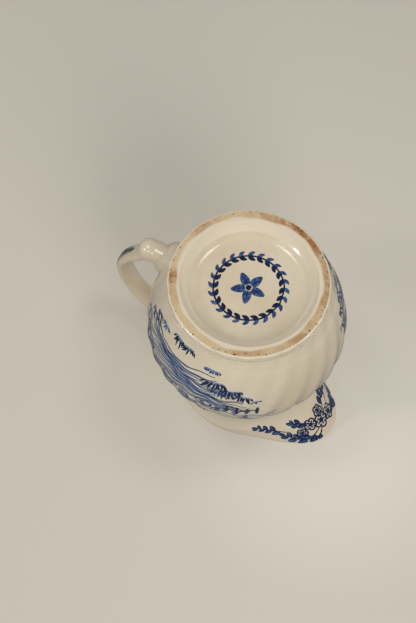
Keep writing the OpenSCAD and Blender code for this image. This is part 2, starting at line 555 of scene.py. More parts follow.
def choose(piece: bpy.types.Object) -> None:
    """Select one piece alone and make it the active one.

    Args:
        piece: The piece.
    """
    deselect_all()
    piece.select_set(True)
    bpy.context.view_layer.objects.active = piece


def edit(piece: bpy.types.Object) -> None:
    """Choose one piece and enter edit mode."""
    choose(piece)
    bpy.ops.object.mode_set(mode="EDIT")


def leave_edit() -> None:
    """Return to object mode."""
    bpy.ops.object.mode_set(mode="OBJECT")


def weld() -> None:
    """Merge the doubled points of the piece in edit mode."""
    bpy.ops.mesh.select_all(action="SELECT")
    bpy.ops.mesh.remove_doubles(threshold=WELD)


def finish_outward() -> None:
    """Turn the faces of the piece in edit mode outward and leave edit mode."""
    bpy.ops.mesh.select_all(action="SELECT")
    bpy.ops.mesh.normals_make_consistent(inside=False)
    leave_edit()


def name_piece(piece: bpy.types.Object, name: str) -> None:
    """Give a piece and its mesh the same name."""
    piece.name = name
    piece.data.name = name


def write_layer(piece: bpy.types.Object, name: str, values: np.ndarray) -> None:
    """Store one value for each point, for a finish to read."""
    layer = piece.data.attributes.new(name, "FLOAT", "POINT")
    layer.data.foreach_set("value", values.astype(np.float32))


def move_points(piece: bpy.types.Object, shape: Callable[[Points], Points]) -> None:
    """Move every point of a piece by a rule on its mm coordinates.

    Args:
        piece: The piece.
        shape: The rule, from old points to new ones in mm.
    """
    mesh = piece.data
    flat = np.empty(len(mesh.vertices) * 3)
    mesh.vertices.foreach_get("co", flat)
    moved = shape(flat.reshape(-1, 3) / MM) * MM
    mesh.vertices.foreach_set("co", moved.ravel())
    mesh.update()


def turn_profile(name: str, profile: Sequence[tuple[float, float]], steps: int) -> bpy.types.Object:
    """Throw a round piece: extrude a profile point by point and spin it about Z.

    Args:
        name: The piece's name.
        profile: Radius and height of each profile point, in mm.
        steps: Divisions round the turn.

    Returns:
        The closed round piece.
    """
    deselect_all()
    start = Vector((profile[0][0] * MM, 0, profile[0][1] * MM))
    bpy.ops.mesh.primitive_plane_add(size=MM, location=(0, 0, 0))
    piece = bpy.context.object
    name_piece(piece, name)
    bpy.ops.object.mode_set(mode="EDIT")
    bpy.ops.mesh.merge(type="CENTER")
    bpy.ops.transform.translate(value=start)
    last = start
    for radius, height in profile[1:]:
        here = Vector((radius * MM, 0, height * MM))
        bpy.ops.mesh.extrude_region_move(TRANSFORM_OT_translate={"value": here - last})
        last = here
    bpy.ops.mesh.select_all(action="SELECT")
    bpy.ops.mesh.spin(steps=steps, angle=math.tau, center=(0, 0, 0), axis=(0, 0, 1))
    weld()
    finish_outward()
    return piece


def loft(name: str, rings: Sequence[Points], closed_loop: bool = False) -> bpy.types.Object:
    """Skin a row of point rings, as a coil of clay is drawn out, and close its ends.

    Args:
        name: The piece's name.
        rings: Rings of equal size, in mm.
        closed_loop: Whether the last ring joins the first one.

    Returns:
        The closed piece.
    """
    deselect_all()
    sides = len(rings[0])
    rows = len(rings)
    bpy.ops.mesh.primitive_grid_add(
        x_subdivisions=sides, y_subdivisions=rows if closed_loop else rows - 1, size=1, location=(0, 0, 0)
    )
    piece = bpy.context.object
    name_piece(piece, name)
    table = np.stack([np.vstack([r, r[:1]]) for r in rings])
    if closed_loop:
        table = np.concatenate([table, table[:1]])
    piece.data.vertices.foreach_set("co", (table.reshape(-1, 3) * MM).ravel())
    piece.data.update()
    edit(piece)
    weld()
    if not closed_loop:
        bpy.ops.mesh.select_all(action="DESELECT")
        bpy.ops.mesh.select_non_manifold(extend=False)
        bpy.ops.mesh.fill_holes(sides=0)
    finish_outward()
    return piece


def dress(piece: bpy.types.Object, material: bpy.types.Material) -> bpy.types.Object:
    """Smooth a piece, give it its one material and its body.

    Args:
        piece: The piece.
        material: Its material.

    Returns:
        The same piece.
    """
    choose(piece)
    bpy.ops.object.shade_smooth_by_angle(angle=SMOOTH_ANGLE)
    piece.data.materials.clear()
    piece.data.materials.append(material)
    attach(piece, "root")
    log.info("%s: %d faces", piece.name, len(piece.data.polygons))
    return piece


# ---------------------------------------------------------------- ware


@dataclass
class Ware:
    """The cast wall of the jug: bowl, neck and pouring lip in one shell."""

    form: JugForm
    glaze: bpy.types.Material
    steps: int = 288
    outer_rows: int = 92
    inner_rows: int = 46
    edge_rows: int = 10
    slack: float = 0.01

    def profile(self) -> list[tuple[float, float]]:
        """The wall's section: under the foot, up the outside, over the rim and down inside.

        Returns:
            Radius and height of each point, from the axis below to the axis inside.
        """
        f = self.form
        edge_z = f.rim_z - f.wall / 2
        under = [(0.0, f.recess_h), (f.recess_r * 0.5, f.recess_h), (f.recess_r * 0.93, f.recess_h)]
        cove = np.linspace(f.recess_h, f.foot_h, 9)
        under += [(float(f.cove_r(z)), float(z)) for z in cove]
        outer = np.linspace(f.foot_h, edge_z, self.outer_rows)
        rise = [(float(f.plain_r(z)), float(z)) for z in outer]
        top = float(f.plain_r(edge_z))
        half = f.wall / 2
        turns = [math.pi * i / self.edge_rows for i in range(1, self.edge_rows)]
        edge = [(top - half * (1 - math.cos(t)), edge_z + half * math.sin(t)) for t in turns]
        inner = []
        for t in np.linspace(1, 0, self.inner_rows) ** 1.2:
            z = mix(f.floor_z, edge_z, t)
            deep = max(f.corner_r - (z - f.floor_z), 0)
            round_in = f.corner_r - math.sqrt(f.corner_r**2 - deep**2)
            inner.append((float(f.plain_r(z)) - f.wall - round_in, float(z)))
        floor_r = inner[-1][0]
        return under + rise + edge + inner + [(floor_r * 0.6, f.floor_z), (0.0, f.floor_z)]

    def press(self, points: Points) -> Points:
        """Turn the thrown form into the cast one: rise, swirl, flutes and lip.

        Args:
            points: Points of the thrown form in mm.

        Returns:
            Points of the cast form in mm.
        """
        f = self.form
        radius, turn, z = to_round(points)
        edge_z = f.rim_z - f.wall / 2
        under = (z < f.recess_h + self.slack) & (radius < f.cove_r(np.minimum(z, f.recess_h)) + self.slack)
        upper = (z > f.foot_h + 1e-4) & ~under
        inside = upper & (radius < f.plain_r(np.minimum(z, f.rim_z)) - f.wall * 0.75)
        outside = upper & ~inside
        climb = np.clip((z - f.foot_h) / (edge_z - f.foot_h), 0, 1)
        angle = turn + np.where(inside, f.swirl, f.swirl * climb)
        start = np.where(inside, f.floor_z, f.foot_h)
        share = np.clip((z - start) / (edge_z - start), 0, 1)
        over = np.maximum(z - edge_z, 0)
        lifted = np.where(upper, mix(start, f.edge_height(angle), share) + over, z)
        body_z = np.minimum(lifted, f.edge_height(angle))
        old_r = f.plain_r(np.minimum(np.where(inside | (over > 0), np.minimum(z, edge_z), z), f.rim_z))
        new_r = f.plain_r(np.minimum(body_z, f.rim_z))
        grow = np.where(upper, new_r - old_r + f.lip_out(angle, body_z), 0)
        cut = np.where(outside & (over <= 0), f.groove(angle, body_z), 0)
        radius = np.where(radius > 1e-6, radius + grow * np.where(lifted > f.floor_z + 1e-6, 1, 0), 0) - cut
        return from_round(radius, angle, lifted)

    def build(self) -> bpy.types.Object:
        """Build the glazed wall, which stands for the body node.

        Returns:
            The wall.
        """
        wall = turn_profile("jug_wall", self.profile(), self.steps)
        move_points(wall, self.press)
        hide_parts("body")
        return dress(wall, self.glaze)


@dataclass
class Foot:
    """The foot ring with its wiped rest face, stains and pits."""

    form: JugForm
    finish: bpy.types.Material
    steps: int = 288
    scallop: float = 0.28
    crevice: float = 0.35
    band: float = 3.0
    band_in: float = 0.2
    face_top: float = 0.3
    grit_reach: float = 2.0
    # Stained stretches of the rest face: angle from the lip, half width in degrees, strength
    stains: tuple[tuple[float, float, float], ...] = (
        (-75.0, 36.0, 1.0),
        (-25.0, 20.0, 0.75),
        (20.0, 18.0, 0.6),
        (62.0, 14.0, 0.55),
        (153.0, 6.0, 1.0),
        (138.0, 8.0, 0.4),
        (-157.0, 11.0, 0.7),
    )

    def profile(self) -> list[tuple[float, float]]:
        """The ring's section: outside wall, rounded edge, rest face and cove.

        Returns:
            Radius and height of each point, closed on itself.
        """
        f = self.form
        climb = (1, 0.9, 0.7, 0.4, 0)
        outside = [(f.foot_r + f.foot_step / 2 * t, mix(f.edge_r, f.foot_h, t)) for t in climb]
        edge = [
            (f.rest_outer_r + f.edge_r * math.cos(t), f.edge_r * (1 - math.sin(t)))
            for t in (math.radians(d) for d in range(15, 90, 15))
        ]
        rest = [(mix(f.rest_outer_r, f.rest_inner_r, t), 0.0) for t in np.linspace(0, 1, 12)]
        cove = [(float(f.cove_r(z)), float(z)) for z in np.linspace(0, f.foot_h, 10)[1:]]
        loop = outside + edge + rest + cove
        return loop + loop[:1]

    def shape(self, points: Points) -> Points:
        """Give the outside its faint scallops and pull the wall in to a fine crevice on top.

        Args:
            points: Points of the turned ring in mm.

        Returns:
            Points of the finished ring in mm.
        """
        f = self.form
        radius, angle, z = to_round(points)
        outer = ease((radius - f.rest_outer_r) / f.edge_r)
        lobes = 1 - np.abs(np.cos(np.radians(f.flutes / 2 * angle)))
        crevice = ease((z - f.foot_h + 0.5) / 0.5) * self.crevice
        return from_round(radius - outer * (self.scallop * lobes + crevice), angle, z)

    def mark(self, piece: bpy.types.Object) -> None:
        """Write how bare, stained and pitted each point is, for the finish to read.

        Args:
            piece: The finished ring.
        """
        f = self.form
        radius, angle, z = to_round(np.array([v.co[:] for v in piece.data.vertices]) / MM)
        outer = f.rest_outer_r - self.band_in
        turn = np.radians(angle)
        waver = 0.35 * np.sin(3 * turn + 1) + 0.25 * np.sin(7 * turn + 2) + 0.15 * np.sin(17 * turn)
        on_face = ease((radius - outer + self.band + waver) / 0.9) * ease((outer + 0.3 - radius) / 0.5)
        stain = np.zeros(len(z))
        for middle, half, strength in self.stains:
            stain = np.maximum(stain, strength * np.exp(-((half_turn(angle - middle) / half) ** 2)))
        outer_side = ease((radius - f.rest_outer_r + self.grit_reach) / 1.2)
        write_layer(piece, "bare", on_face * (z < self.face_top))
        write_layer(piece, "stain", 0.1 + 0.9 * stain)
        write_layer(piece, "grit", (0.3 + 0.7 * stain) * outer_side)

    def build(self) -> bpy.types.Object:
        """Build the ring, which stands for the foot_ring node.

        Returns:
            The ring.
        """
        ring = turn_profile("foot_ring_worn", self.profile(), self.steps)
        move_points(ring, self.shape)
        self.mark(ring)
        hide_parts("foot_ring")
        return dress(ring, self.finish)


@dataclass
class Handle:
    """The loop handle: a pulled strap and a knobbed spur, with a collar of slip at each root."""

    form: JugForm
    glaze: bpy.types.Material
    strap_out: float
    upper_root_z: float
    lower_root_z: float
    strap_w: float = 8.2
    strap_t: float = 4.5
    knob_d: float = 9.4
    spur_slim: float = 0.4
    spur_len: float = 8.2
    spur_rise: float = 1.0
    collar: float = 1.5
    bead: float = 2.7
    sag: float = 0.6
    root_gap: float = 0.5
    flare_w: float = 1.6
    flare_t: float = 1.8
    tuck: float = 0.3
    # Run of each half of the strap over the stretch that the print uses
    upper_run: float = 44.0
    lower_run: float = 33.0
    sides: int = 48
    power: float = 2.4

    @classmethod
    def from_frame(cls, form: JugForm, glaze: bpy.types.Material) -> "Handle":
        """Read the loop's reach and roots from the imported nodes.

        Args:
            form: The body's form.
            glaze: The glaze of the handle and collars.

        Returns:
            The handle.
        """
        low, _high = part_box("handle")
        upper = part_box("upper_collar")
        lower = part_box("lower_collar")
        above_root = (cls.knob_d - cls.spur_slim) / 2 + cls.bead * (1 - cls.sag)
        return cls(
            form=form,
            glaze=glaze,
            strap_out=-low.x / MM - cls.strap_t / 2,
            upper_root_z=(upper[0].z + upper[1].z) / 2 / MM,
            lower_root_z=lower[1].z / MM - above_root,
        )

    def __post_init__(self) -> None:
        """Work out the sizes of both roots and the strap's middle line."""
        self.root_w = self.strap_w + self.flare_w
        self.root_t = self.strap_t + self.flare_t
        self.spur_d = self.knob_d - self.spur_slim
        top, low, out = self.upper_root_z, self.lower_root_z, self.strap_out
        upper_x = float(self.form.surface_x(np.zeros(1), np.array([top]))[0])
        lower_x = float(self.form.surface_x(np.zeros(1), np.array([low]))[0])
        self.knob = (lower_x + self.spur_len, low + self.spur_rise)
        start = float(self.form.plain_r(top - self.root_t / 2)) + self.collar + self.root_gap
        out_z = mix(low, top, 0.48)
        knob_x, knob_z = self.knob
        self.upper = [
            (start, top),
            (mix(upper_x, out, 0.58), top),
            (out, mix(out_z, top, 0.6)),
            (out, out_z),
        ]
        self.lower = [
            (out, out_z),
            (out, mix(out_z, knob_z, 0.34)),
            (mix(knob_x, out, 0.4), mix(knob_z, out_z, 0.36)),
            self.knob,
        ]

    def outline(self, width: float, thick: float) -> Points:
        """Section offsets sideways and crossways; a section as thick as it is wide is round.

        Args:
            width: Width in mm.
            thick: Thickness in mm.

        Returns:
            One row of two offsets for each point.
        """
        a = np.linspace(0, 2 * np.pi, self.sides, endpoint=False)
        share = 1.0 if width == thick else 2 / self.power
        across = width / 2 * np.sign(np.cos(a)) * np.abs(np.cos(a)) ** share
        through = -thick / 2 * np.sign(np.sin(a)) * np.abs(np.sin(a)) ** share
        return np.stack([across, through], -1)

    def root_ring(self, root_z: float, width: float, thick: float, out: float) -> Points:
        """Ring of a root's outline, a distance out from the body.

        Args:
            root_z: Height of the root.
            width: Width of the outline.
            thick: Thickness of the outline.
            out: Distance out from the body, in mm.

        Returns:
            The ring in mm.
        """
        o = self.outline(width, thick)
        y = o[:, 0]
        z = root_z + o[:, 1]
        return np.stack([-self.form.surface_x(y, z) - out, y, z], -1)

    @staticmethod
    def curve(p: Sequence[tuple[float, float]], t: float) -> tuple[np.ndarray, np.ndarray]:
        """Place and direction on a cubic curve of four control points.

        Args:
            p: The control points, out and up.
            t: Share of the way along.

        Returns:
            The place and the unit direction, out and up.
        """
        a, b, c, d = (np.array(q, float) for q in p)
        place = (1 - t) ** 3 * a + 3 * t * (1 - t) ** 2 * b + 3 * t * t * (1 - t) * c + t**3 * d
        way = (1 - t) ** 2 * (b - a) + 2 * t * (1 - t) * (c - b) + t * t * (d - c)
        return place, way / np.linalg.norm(way)

    def section(self, place: Sequence[float], way: Sequence[float], width: float, thick: float) -> Points:
        """Ring across the middle line at a place, out and up, square to its direction.

        Args:
            place: Its middle, out and up.
            way: The direction it faces.
            width: Width in mm.
            thick: Thickness in mm.

        Returns:
            The ring in mm.
        """
        o = self.outline(width, thick)
        return np.stack([-place[0] + o[:, 1] * way[1], o[:, 0], place[1] + o[:, 1] * way[0]], -1)

    def strap_rings(self) -> list[Points]:
        """Rings from the upper root round the loop and into the knob.

        Returns:
            The rings in order.
        """
        steps = (-0.2, 0.5, 1, self.collar)
        found = [self.root_ring(self.upper_root_z, self.root_w, self.root_t, out) for out in steps]
        for t in np.linspace(0, 1, 40):
            flare = 1 - float(ease(t * 2.5))
            width = mix(self.strap_w, self.root_w, flare)
            thick = mix(self.strap_t, self.root_t, flare)
            found.append(self.section(*self.curve(self.upper, t), width, thick))
        for t in np.linspace(0.03, 1, 40):
            found.append(self.section(*self.curve(self.lower, t), self.strap_w, self.strap_t))
        return found

    def spur_rings(self) -> list[Points]:
        """Rings from the lower root through the waist and round the knob.

        Returns:
            The rings in order.
        """
        z, d = self.lower_root_z, self.spur_d
        x = float(self.form.plain_r(z + d / 2)) + self.bead + self.root_gap
        found = [self.root_ring(z, d, d, out) for out in (-0.2, 0.8, 1.6, self.bead)]
        for t in np.linspace(0, 0.95, 9):
            width = mix(d, self.knob_d, t * t)
            place = (mix(x, self.knob[0], t), mix(z, self.knob[1], float(ease(t))))
            found.append(self.section(place, (1, 0), width, width))
        for a in np.radians(np.arange(0, 90, 5)):
            width = self.knob_d * math.cos(a)
            place = (self.knob[0] + self.knob_d / 2 * math.sin(a), self.knob[1])
            found.append(self.section(place, (1, 0), width, width))
        return found

    def on_strap(self, across: np.ndarray, along: np.ndarray, lift: np.ndarray) -> Points:
        """Points on the strap's outer face.

        Args:
            across: Sideways distance from the middle in mm.
            along: Distance down the strap from where it stands furthest out, in mm.
            lift: Distance above the face in mm.

        Returns:
            The points in mm.
        """
        share = np.clip(np.abs(across) / (self.strap_w / 2), 0, 0.999)
        high = self.strap_t / 2 * (1 - share**self.power) ** (1 / self.power) + lift
        found = []
        for y, down, h in zip(across, along, high, strict=True):
            if down < 0:
                place, way = self.curve(self.upper, 1 + float(down) / self.upper_run)
            else:
                place, way = self.curve(self.lower, float(down) / self.lower_run)
            found.append((-place[0] + h * way[1], y, place[1] + h * way[0]))
        return np.array(found)

    def collar_piece(self, name: str, node: str, root: tuple[float, float, float], size: float, curl: float,
                     sag: float) -> bpy.types.Object:
        """Collar of slip round a root.

        Args:
            name: The piece's name.
            node: The node it stands for.
            root: Height, width and thickness of the root.
            size: Size of the collar in mm.
            curl: 3 for a hollow cheek, 1 for a full one.
            sag: Share of its size by which it hangs toward the foot.

        Returns:
            The collar.
        """
        z, width, thick = root
        tuck = self.tuck
        rings = [self.root_ring(z, width - tuck, thick - tuck, out) for out in (-tuck, size)]
        for a in np.linspace(math.pi / 2, 0, 10):
            grow = 2 * size * math.cos(a) ** curl
            out = size * math.sin(a) ** curl
            rings.append(self.root_ring(z - sag * grow / 2, width + grow, thick + grow, out))
        rings.append(self.root_ring(z - sag * size, width + 2 * size, thick + 2 * size, -tuck))
        piece = loft(name, rings, closed_loop=True)
        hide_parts(node)
        return dress(piece, self.glaze)

    def build(self) -> None:
        """Build the loop and both collars."""
        loop = loft("handle_loop", self.strap_rings())
        spur = loft("handle_spur", self.spur_rings())
        choose(loop)
        bpy.ops.object.modifier_add(type="BOOLEAN")
        join = loop.modifiers[-1]
        join.operation = "UNION"
        join.solver = "EXACT"
        join.object = spur
        bpy.ops.object.modifier_apply(modifier=join.name)
        bpy.data.objects.remove(spur, do_unlink=True)
        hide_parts("handle")
        dress(loop, self.glaze)
        upper = (self.upper_root_z, self.root_w, self.root_t)
        lower = (self.lower_root_z, self.spur_d, self.spur_d)
        self.collar_piece("upper_slip_collar", "upper_collar", upper, self.collar, 3, 0.0)
        self.collar_piece("lower_slip_collar", "lower_collar", lower, self.bead, 1, self.sag)


# ---------------------------------------------------------------- print


class Sketch:
    """Strokes of a transfer, drawn flat in mm with x to the right and y up."""

    def __init__(self, seed: int, pressure: float = 1.6) -> None:
        """Start an empty drawing with its own fixed random hand and weight of line.

        Args:
            seed: Seed of the hand's unsteadiness.
            pressure: Factor on the width of every stroke.
        """
        self.hand = random.Random(seed)
        self.pressure = pressure
        self.strokes: list[tuple[np.ndarray, np.ndarray, Ink]] = []

    def line(self, points: Stroke, width: float, ink: Ink, taper: float = 0.5, wobble: float = 0.0,
             root: float = 1.0) -> None:
        """Draw a smooth stroke through some points.

        Args:
            points: The points it passes through.
            width: Its greatest width in mm.
            ink: Its strength.
            taper: Share of the width lost at its ends.
            wobble: Unsteadiness of the hand in mm.
            root: Below 1, the stroke is heaviest toward its start.
        """
        at = np.array(points, float)
        at += [[self.hand.gauss(0, wobble), self.hand.gauss(0, wobble)] for _ in at]
        pad = np.vstack([2 * at[0] - at[1], at, 2 * at[-1] - at[-2]])
        found = []
        for a, b, c, d in zip(pad, pad[1:], pad[2:], pad[3:], strict=False):
            count = max(2, math.ceil(float(np.linalg.norm(c - b)) / 0.7))
            for t in np.arange(count) / count:
                found.append(0.5 * (2 * b + (c - a) * t + (2 * a - 5 * b + 4 * c - d) * t**2
                                    + (3 * b - a - 3 * c + d) * t**3))
        found.append(at[-1])
        along = np.linspace(0, 1, len(found))
        swell = np.sin(np.pi * (0.08 + 0.84 * along) ** root) ** 0.8
        radius = width / 2 * self.pressure * (1 - taper + taper * swell)
        self.strokes.append((np.array(found), radius, ink))

    def blade(self, x: float, y: float, heading: float, length: float, width: float, ink: Ink,
              bend: float = 0) -> None:
        """Draw one blade or leaf from its root, along a heading in degrees.

        Args:
            x: Root, sideways.
            y: Root, upward.
            heading: Degrees from the x axis.
            length: Length in mm.
            width: Greatest width in mm.
            ink: Strength.
            bend: Sideways bow as a share of the length.
        """
        a = math.radians(heading)
        way = (math.cos(a), math.sin(a))
        side = (-way[1] * bend * length, way[0] * bend * length)
        middle = (x + way[0] * length / 2 + side[0], y + way[1] * length / 2 + side[1])
        tip = (x + way[0] * length, y + way[1] * length)
        self.line([(x, y), middle, tip], width, ink, taper=1.0, root=0.7)

    def tuft(self, x: float, y: float, length: float, high: float, ink: Ink, lean: float = 0) -> None:
        """Draw a row of grass blades standing up from a ground line.

        Args:
            x: Middle of the row.
            y: Height of the ground.
            length: Length of the row.
            high: Height of its tallest blades.
            ink: Strength.
            lean: Lean of the whole tuft in degrees.
        """
        count = int(length / 0.72)
        for i in range(count):
            t = i / max(count - 1, 1)
            tall = high * (0.6 + 0.4 * math.sin(math.pi * t)) * self.hand.uniform(0.65, 1.15)
            heading = 90 - lean + (0.5 - t) * 66 + self.hand.uniform(-14, 14)
            foot_x = x + (t - 0.5) * length + self.hand.uniform(-0.3, 0.3)
            foot_y = y + self.hand.uniform(-0.4, 0.3)
            self.blade(foot_x, foot_y, heading, tall, 0.58, ink, self.hand.uniform(-0.12, 0.12))
        ground = [(x - length / 2, y - 0.2), (x, y + 0.3), (x + length / 2, y - 0.1)]
        self.line(ground, 1.1, Ink.PALE, taper=0.9)

    def ring(self, x: float, y: float, wide: float, high: float, width: float, ink: Ink,
             rough: float = 0.0) -> None:
        """Draw a closed round outline, more or less uneven.

        Args:
            x: Middle, sideways.
            y: Middle, upward.
            wide: Half width.
            high: Half height.
            width: Width of the line.
            ink: Strength.
            rough: Unevenness as a share of the size.
        """
        turns = [math.tau * i / 10 for i in range(11)]
        wave = [1 + self.hand.uniform(-rough, rough) for _ in turns]
        wave[-1] = wave[0]
        points = [
            (x + wide * k * math.cos(t), y + high * k * math.sin(t)) for k, t in zip(wave, turns, strict=True)
        ]
        self.line(points, width, ink, taper=0.25)

    def hatch(self, x: float, y: float, wide: float, high: float, heading: float, step: float,
              ink: Ink) -> None:
        """Shade a patch with short parallel strokes.

        Args:
            x: Middle, sideways.
            y: Middle, upward.
            wide: Width of the patch.
            high: Length of its longest stroke.
            heading: Degrees of the strokes from the x axis.
            step: Spacing in mm.
            ink: Strength.
        """
        count = int(wide / step)
        for i in range(count):
            t = (i + 0.5) / count * 2 - 1
            long = high * math.sqrt(1 - t * t) * self.hand.uniform(0.7, 1.05)
            a = math.radians(heading)
            mid = (x + t * wide / 2 * math.sin(a), y - t * wide / 2 * math.cos(a))
            start = (mid[0] - math.cos(a) * long / 2, mid[1] - math.sin(a) * long / 2)
            self.blade(start[0], start[1], heading, long, 0.26, ink, 0.06)

    def rock(self, x: float, y: float, wide: float, high: float) -> None:
        """Draw a rounded stone with a shaded side.

        Args:
            x: Middle, sideways.
            y: Middle, upward.
            wide: Half width.
            high: Half height.
        """
        self.ring(x, y, wide, high, 0.42, Ink.DARK, rough=0.12)
        self.ring(x - wide * 0.15, y + high * 0.1, wide * 0.6, high * 0.55, 0.26, Ink.MIDDLE, rough=0.2)
        self.hatch(x + wide * 0.3, y - high * 0.2, wide * 1.1, high * 1.1, 60, 0.5, Ink.MIDDLE)

    def leaf(self, x: float, y: float, heading: float, length: float) -> None:
        """Draw a full leaf: a pale blade with a dark rib and edge.

        Args:
            x: Root, sideways.
            y: Root, upward.
            heading: Degrees from the x axis.
            length: Length in mm.
        """
        self.blade(x, y, heading, length, length * 0.42, Ink.MIDDLE, 0.08)
        self.blade(x, y, heading - 9, length * 0.95, length * 0.2, Ink.DARK, -0.1)
        self.blade(x, y, heading + 14, length * 0.8, length * 0.1, Ink.DARK, 0.16)

    def spray(self, points: Stroke, leaf: float, gap: float, berries: bool = False) -> None:
        """Draw a stem with paired leaves that shrink toward its tip.

        Args:
            points: The stem, from its root.
            leaf: Length of the largest leaf.
            gap: Distance between pairs.
            berries: Whether berries grow among the leaves.
        """
        self.line(points, 0.4, Ink.DARK, taper=0.6)
        stem = self.strokes[-1][0]
        run = np.concatenate([[0], np.cumsum(np.linalg.norm(np.diff(stem, axis=0), axis=1))])
        place, side = gap, 1
        while place < run[-1]:
            i = int(np.searchsorted(run, place))
            way = stem[i] - stem[i - 1]
            heading = math.degrees(math.atan2(way[1], way[0]))
            size = leaf * (1 - 0.35 * place / run[-1])
            self.leaf(stem[i][0], stem[i][1], heading + side * self.hand.uniform(38, 55), size)
            if berries and self.hand.random() < 0.5:
                a = math.radians(heading - side * 70)
                berry = (stem[i][0] + 1.5 * math.cos(a), stem[i][1] + 1.5 * math.sin(a))
                self.ring(*berry, 0.4, 0.4, 0.35, Ink.DARK)
            side = -side
            place += gap * 0.5
        self.leaf(stem[-1][0], stem[-1][1], heading, leaf * 0.7)

    def blossom(self, x: float, y: float, size: float) -> None:
        """Draw an open flower: five petals with a shaded heart, a dark edge and eye.

        Args:
            x: Middle, sideways.
            y: Middle, upward.
            size: Radius in mm.
        """
        for i in range(5):
            a = math.tau * i / 5 + 0.3
            px, py = x + size * 0.58 * math.cos(a), y + size * 0.58 * math.sin(a)
            arc = [a + math.radians(d) for d in (-115, -60, 0, 60, 115)]
            points = [(px + size * 0.46 * math.cos(t), py + size * 0.46 * math.sin(t)) for t in arc]
            self.line(points, 0.46, Ink.DARK, taper=0.3)
            heart = (x + size * 0.2 * math.cos(a), y + size * 0.2 * math.sin(a))
            self.blade(*heart, math.degrees(a), size * 0.55, 0.6, Ink.MIDDLE)
        self.ring(x, y, size * 0.16, size * 0.16, size * 0.26, Ink.DARK)

    def tree(self, x: float, y: float, high: float, spread: float) -> None:
        """Draw a broad tree with a forked trunk and clumps of leaves.

        Args:
            x: Foot of the trunk, sideways.
            y: Height of the ground.
            high: Height in mm.
            spread: Half width of the crown.
        """
        for lean in (-0.3, 0.1, 0.4):
            tip = (x + lean * spread * 1.3, y + high * self.hand.uniform(0.6, 0.75))
            trunk = [(x + lean, y), (x + lean * 0.6, y + high * 0.3), tip]
            self.line(trunk, 1.0, Ink.MIDDLE, taper=0.5, wobble=0.1)
        for _ in range(int(spread * high * 0.85)):
            a = self.hand.uniform(0, math.tau)
            far = math.sqrt(self.hand.random())
            px = x + spread * far * math.cos(a)
            py = y + high * 0.68 + high * 0.34 * far * math.sin(a)
            ink = self.hand.choice((Ink.DARK, Ink.MIDDLE, Ink.MIDDLE, Ink.PALE))
            self.blade(px, py, self.hand.uniform(-40, 220), self.hand.uniform(0.9, 1.7), 0.6, ink, 0.2)

    def cottage(self, x: float, y: float, wide: float, high: float) -> None:
        """Draw a thatched cottage with a door, windows and a chimney.

        Args:
            x: Left corner.
            y: Height of the ground.
            wide: Width in mm.
            high: Height to the ridge.
        """
        eaves, ridge = y + high * 0.5, y + high
        walls = [[(x, y), (x, eaves)], [(x + wide, y), (x + wide, eaves)], [(x, y), (x + wide, y)]]
        roof = [
            [(x - 1, eaves), (x + wide * 0.14, ridge)],
            [(x + wide * 0.14, ridge), (x + wide * 0.86, ridge)],
            [(x + wide * 0.86, ridge), (x + wide + 1, eaves)],
            [(x - 1, eaves), (x + wide + 1, eaves)],
        ]
        for points in walls + roof:
            self.line(points, 0.4, Ink.DARK, taper=0.2)
        self.hatch(x + wide / 2, (eaves + ridge) / 2, wide * 1.02, high * 0.46, 78, 0.55, Ink.MIDDLE)
        for share, low, size in ((0.2, 0.2, 0.9), (0.72, 0.2, 0.9), (0.45, 0.02, 1.0)):
            cx, cy = x + wide * share, y + high * low
            self.line([(cx, cy), (cx, cy + size * 1.5)], size, Ink.MIDDLE, taper=0.0)
        self.line([(x + wide * 0.76, ridge - 0.2), (x + wide * 0.76, ridge + 1.5)], 1.0, Ink.DARK, taper=0.0)


class Ground(Enum):
    """The surfaces that a transfer is laid on."""

    WALL = "wall"
    STRAP = "strap"
    RECESS = "recess"


